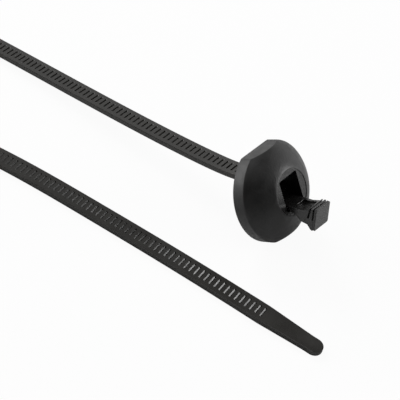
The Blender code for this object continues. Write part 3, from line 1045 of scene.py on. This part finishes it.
@dataclass
class Strap:
    """The strap: smooth rails, a notch behind every tooth and a plain tapered tip."""

    route: StrapRoute
    corner: float = 0.00012
    rail: float = 0.0012
    corner_share: float = 0.45
    corner_cut: float = 0.3
    wall_clear: float = 1.1
    notch_wall: float = 0.0001
    tooth_pitch: float = 0.00125
    tooth_land: float = 0.00076
    notch_ramp: float = 0.00036
    notch_floor: float = 0.00005
    notch_depth: float = 0.00025
    least_plain_root: float = 0.0045
    plain_tip: float = 0.0138
    tip_taper: float = 0.0104
    tip_width: float = 0.0037
    tip_least: float = 0.00026
    tip_steps: int = 14
    root_embed: float = 0.0010
    end_step: float = 0.0006
    teeth_per_span: int = 3
    merge_gap: float = 1e-6
    sharp: float = math.radians(18)

    def ring(self, x: float, half: float, depth: float) -> list[Point]:
        """Gives the strap's section at one place along it.

        Args:
            x: Distance along the strap.
            half: Half the width there.
            depth: How deep the notch is there.

        Returns:
            The section's points, with the toothed face up.
        """
        top = self.route.thickness / 2
        c = min(self.corner, half * self.corner_share)
        k = c * self.corner_cut
        notch = min(self.route.width / 2 - self.rail, half - 2 * c)
        wall = min(notch + self.notch_wall, half - self.wall_clear * c)
        across = [
            (-half + c, -top),
            (-half + k, -top + k),
            (-half, -top + c),
            (-half, top - c),
            (-half + k, top - k),
            (-half + c, top),
            (-wall, top),
            (-notch, top - depth),
        ]
        mirrored = [(-y, z) for y, z in reversed(across)]
        return [(x, y, z) for y, z in [*across, *mirrored]]

    def rings(self, stations: Sequence[Point]) -> list[list[Point]]:
        """Gives the section at each distance, half width and notch depth."""
        return [self.ring(*station) for station in stations]

    def tooth(self) -> Mesh:
        """Makes one tooth: a flat land, the notch's ramp and its steep end.

        Returns:
            The tooth's open skin.
        """
        half = self.route.width / 2
        ramp_end = self.tooth_land + self.notch_ramp
        stations = [
            (0.0, half, 0.0),
            (self.tooth_land, half, 0.0),
            (ramp_end, half, self.notch_depth),
            (ramp_end + self.notch_floor, half, self.notch_depth),
            (self.tooth_pitch, half, 0.0),
        ]
        skin = join_rings(bmesh.new(), self.rings(stations), caps=(False, False))
        return mesh_from(skin, "strap_tooth", outward=False)

    def half_at(self, left: float) -> float:
        """Gives half the strap's width at a distance from its tip.

        Args:
            left: Distance from the tip.

        Returns:
            Half the width.
        """
        full = self.route.width / 2
        nose = self.tip_width / 2
        if left < nose:
            return max(nose * math.sqrt(max(1 - (1 - left / nose) ** 2, 0.0)), self.tip_least)
        return full + (nose - full) * min(max(self.plain_tip - left, 0.0) / self.tip_taper, 1.0)

    def ends(self, length: float, first: float) -> Mesh:
        """Makes the plain root and the plain tapered tip, straight, at their distances.

        Args:
            length: The strap's length.
            first: Where its first tooth starts.

        Returns:
            One mesh with both ends.
        """
        half = self.route.width / 2
        count = max(2, round(first / self.end_step))
        root = [(-self.root_embed, half, 0.0)]
        root += [(first * i / count, half, 0.0) for i in range(count + 1)]
        toothed = length - self.plain_tip
        nose = self.tip_width / 2
        count = round((self.plain_tip - nose) / self.end_step)
        tip = []
        for i in range(count + 1):
            x = toothed + (self.plain_tip - nose) * i / count
            tip.append((x, self.half_at(length - x), 0.0))
        for i in range(1, self.tip_steps + 1):
            x = length - nose * (1 - math.sin(math.pi / 2 * i / self.tip_steps))
            tip.append((x, self.half_at(length - x), 0.0))
        bm = join_rings(bmesh.new(), self.rings(root), caps=(True, False))
        return mesh_from(join_rings(bm, self.rings(tip), caps=(False, True)), "strap_ends", outward=False)

    def laying_tree(self) -> TreeBuilder:
        """Builds the tree that repeats the tooth and lays the whole strap along its route.

        Returns:
            The tree, whose input geometry is one tooth.
        """
        kinds = {"Route": "Object", "Ends": "Object", "First Tooth": "Float", "Tooth Pitch": "Float"}
        builder = TreeBuilder("laid_strap", {**kinds, "Tooth Count": "Int", "Merge Distance": "Float"})
        route, ends, first, pitch, count, gap = builder.inputs
        feeds = {"Start Location": builder.vector(X=first), "Offset": builder.vector(X=pitch)}
        feeds["Count"] = count
        line = builder.socket("Mesh", "GeometryNodeMeshLine", feeds, mode="OFFSET")
        feeds = {"Points": line, "Instance": builder.entry.outputs["Geometry"]}
        repeat = builder.socket("Instances", "GeometryNodeInstanceOnPoints", feeds)
        teeth = builder.socket("Geometry", "GeometryNodeRealizeInstances", {"Geometry": repeat})
        join = builder.node("GeometryNodeJoinGeometry", {"Geometry": teeth})
        builder.feed(join, {"Geometry": builder.shape_of(ends)})
        whole = builder.merged(join.outputs["Geometry"], gap)
        along, aside, height = builder.parts(builder.position())
        kind = "FLOAT_VECTOR"
        facing = builder.socket(
            "Attribute", "GeometryNodeInputNamedAttribute", {"Name": "facing"}, data_type=kind
        )
        feeds = {"Curves": builder.curve_of(route), "Value": facing, "Length": along}
        read = builder.node("GeometryNodeSampleCurve", feeds, mode="LENGTH", data_type=kind).outputs
        face = builder.vector_maths("NORMALIZE", read["Value"], (0.0, 0.0, 0.0))
        side = builder.vector_maths("CROSS_PRODUCT", face, read["Tangent"])
        before = builder.maths("MINIMUM", along, 0.0)
        place = read["Position"]
        for way, amount in ((side, aside), (face, height), (read["Tangent"], before)):
            place = builder.vector_maths("ADD", place, builder.vector_maths("SCALE", way, amount))
        builder.finish(builder.moved(whole, place))
        return builder

    def build(self, finish: NylonFinish) -> None:
        """Builds and dresses the strap.

        Args:
            finish: Its finish.
        """
        points, faces = self.route.trace()
        guide = guide_line("strap_route", points.tolist())
        facing = guide.data.attributes.new("facing", "FLOAT_VECTOR", "POINT")
        facing.data.foreach_set("vector", faces.ravel())
        length = float(distances_along(points)[-1])
        span = self.tooth_pitch * self.teeth_per_span
        count = int((length - self.plain_tip - self.least_plain_root) / span) * self.teeth_per_span
        first = length - self.plain_tip - count * self.tooth_pitch
        ends = helper("strap_ends", self.ends(length, first))
        material = finish.material()
        values = {
            "Route": guide,
            "Ends": ends,
            "First Tooth": first,
            "Tooth Pitch": self.tooth_pitch,
            "Tooth Count": count,
            "Merge Distance": self.merge_gap,
            "Finish": material,
        }
        mesh = self.laying_tree().run(self.tooth(), values)
        for obj in (guide, ends):
            bpy.data.objects.remove(obj)
        bm = bmesh.new()
        bm.from_mesh(mesh)
        mesh = mesh_from(bm, "strap")
        mesh.shade_smooth()
        mesh.set_sharp_from_angle(angle=self.sharp)
        LOG.info("strap: %.1f mm long, %d teeth", length * 1000, count)
        show("strap", mesh, material)


@dataclass(frozen=True)
class PhotoCamera:
    """The camera's place round the tie, in the strap's plan axes."""

    location: Point = (0.06722, -0.15095, 0.15740)
    azimuth: float = math.radians(28.648)
    elevation: float = math.radians(43.620)
    roll: float = math.radians(14.705)
    lens: float = 92.25
    sensor: float = 36.0
    clip: Pair = (0.005, 20.0)

    def place(self, shift: Vector) -> None:
        """Creates the camera and makes it the scene's.

        Args:
            shift: From the plan axes to the row's frame.
        """
        data = bpy.data.cameras.new("camera")
        data.lens = self.lens
        data.sensor_width = self.sensor
        data.clip_start, data.clip_end = self.clip
        camera = add_object("camera", data)
        camera.matrix_world = Matrix.Translation(Vector(self.location) + shift)
        tilt = math.pi / 2 - self.elevation
        for angle, axis in ((self.azimuth, "Z"), (tilt, "X"), (self.roll, "Z")):
            camera.matrix_world = camera.matrix_world @ Matrix.Rotation(angle, 4, axis)
        bpy.context.scene.camera = camera


@dataclass(frozen=True)
class Softbox:
    """One studio lamp, square and soft, aimed at the tie."""

    name: str
    direction: Point
    distance: float
    size: float
    power: float
    in_gloss: bool = True

    def light(self, target: Vector) -> None:
        """Hangs the lamp.

        Args:
            target: What it points at.
        """
        data = bpy.data.lights.new(self.name, "AREA")
        data.shape = "SQUARE"
        data.size = self.size
        data.energy = self.power
        lamp = add_object(self.name, data)
        away = Vector(self.direction).normalized()
        lamp.location = target + away * self.distance
        lamp.rotation_euler = away.to_track_quat("Z", "Y").to_euler()
        lamp.visible_glossy = self.in_gloss


@dataclass
class Studio:
    """Pale floor, a pale tent round its back and sides, and soft lamps."""

    target: Vector
    floor_size: float = 6.0
    floor_white: float = 0.72
    floor_gap: float = 0.00002
    paper_glow: float = 0.94
    tent_back: float = 0.82
    tent_front: float = 0.06
    tent_side: Point = (-0.67, 0.74, 0.0)
    tent_edge: Pair = (-0.34, 0.02)
    tent_top: float = 0.14
    tent_top_edge: Pair = (0.50, 0.82)
    lamps: tuple[Softbox, ...] = (
        Softbox("lamp_over", (-0.80, 0.30, 0.52), 0.9, 0.35, 5.5, in_gloss=False),
        Softbox("lamp_top", (-0.10, -0.05, 0.99), 0.6, 0.34, 0.35),
        Softbox("lamp_right", (0.61, 0.58, 0.40), 0.6, 0.22, 1.4),
        Softbox("lamp_left", (-0.79, -0.37, 0.30), 0.6, 0.48, 2.1),
    )

    def shown_white(self, nodes: NodeBuilder, lit: NodeSocket, kind: str, share: float) -> NodeSocket:
        """Mixes white into what camera rays see.

        Args:
            nodes: The tree's nodes.
            lit: What other rays see.
            kind: The type of the node that gives the white.
            share: How much of what camera rays see is white.

        Returns:
            The mixed shader.
        """
        ray = nodes.socket("Is Camera Ray", "ShaderNodeLightPath")
        white = nodes.socket(0, kind, {"Color": WHITE})
        feeds = {"Fac": nodes.maths("MULTIPLY", ray, share), 1: lit, 2: white}
        return nodes.socket(0, "ShaderNodeMixShader", feeds)

    def floor(self) -> None:
        """Lays the floor, which shows white and keeps the tie's shadow."""
        half = self.floor_size / 2
        corners = [(-half, -half), (half, -half), (half, half), (-half, half)]
        mesh = bpy.data.meshes.new("floor")
        mesh.from_pydata([(x, y, -self.floor_gap) for x, y in corners], [], [(0, 1, 2, 3)])
        material = bpy.data.materials.new("floor_paper")
        material.use_nodes = True
        nodes = NodeBuilder(material.node_tree)
        nodes.tree.nodes.clear()
        colour = (self.floor_white, self.floor_white, self.floor_white, 1.0)
        paper = nodes.socket(0, "ShaderNodeBsdfDiffuse", {"Color": colour})
        seen = self.shown_white(nodes, paper, "ShaderNodeEmission", self.paper_glow)
        nodes.node("ShaderNodeOutputMaterial", {"Surface": seen})
        mesh.materials.append(material)
        add_object("floor", mesh)

    def surroundings(self) -> None:
        """Makes the world a tent that is open in front, and white where the camera sees it."""
        world = bpy.data.worlds.new("studio")
        bpy.context.scene.world = world
        world.use_nodes = True
        nodes = NodeBuilder(world.node_tree)
        nodes.tree.nodes.clear()
        way = nodes.socket("Generated", "ShaderNodeTexCoord")
        feeds = {0: way, 1: self.tent_side}
        side = nodes.socket("Value", "ShaderNodeVectorMath", feeds, operation="DOT_PRODUCT")
        wall = nodes.ramp(side, self.tent_edge, (self.tent_front, self.tent_back), "SMOOTHSTEP")
        top = nodes.ramp(nodes.parts(way)[2], self.tent_top_edge, (1.0, self.tent_top), "SMOOTHSTEP")
        feeds = {"Color": WHITE, "Strength": nodes.maths("MULTIPLY", wall, top)}
        tent = nodes.socket(0, "ShaderNodeBackground", feeds)
        seen = self.shown_white(nodes, tent, "ShaderNodeBackground", 1.0)
        nodes.node("ShaderNodeOutputWorld", {"Surface": seen})

    def build(self) -> None:
        """Sets up the whole studio."""
        self.floor()
        self.surroundings()
        for lamp in self.lamps:
            lamp.light(self.target)
        bpy.context.scene.view_settings.view_transform = "Standard"


def main() -> None:
    """Builds the tie's pieces in order, then the camera and the studio."""
    logging.basicConfig(level=logging.INFO, format="%(name)s: %(message)s")
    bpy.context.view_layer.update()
    place = ButtonPlace.from_record(frame["record"]).matrix()
    head = ButtonHead(place)
    dull = NylonFinish(
        Piece.BUTTON,
        colour=(0.006, 0.006, 0.0063),
        colour_flow=(0.019, 0.0185, 0.018),
        roughness=(0.36, 0.54),
        flow_size=0.0022,
        grain_size=0.0005,
        grain_height=0.00003,
    )
    head.build(dull, MouldSkin(voxel=0.000075, smoothing=6, keep=0.33))
    lever = ReleaseLever(head)
    smooth = NylonFinish(
        Piece.LEVER,
        colour=(0.006, 0.006, 0.0062),
        colour_flow=(0.024, 0.0234, 0.0228),
        roughness=(0.12, 0.36),
        flow_size=0.0009,
    )
    lever.build(smooth, MouldSkin(voxel=0.000045, smoothing=3, keep=0.4))
    route = StrapRoute(place, head.across_flats / 2, head.roof(0) + head.root_wall)
    glossy = NylonFinish(
        Piece.STRAP,
        colour=(0.0122, 0.0114, 0.0099),
        colour_flow=(0.0190, 0.0179, 0.0157),
        roughness=(0.24, 0.38),
    )
    Strap(route).build(glossy)
    lean = route.lean()
    shift = place.translation - Vector((0.0, 0.0, head.across_flats / 2 * math.cos(lean)))
    PhotoCamera().place(shift)
    Studio(Vector(place.translation)).build()


if __name__ == "__main__":
    main()
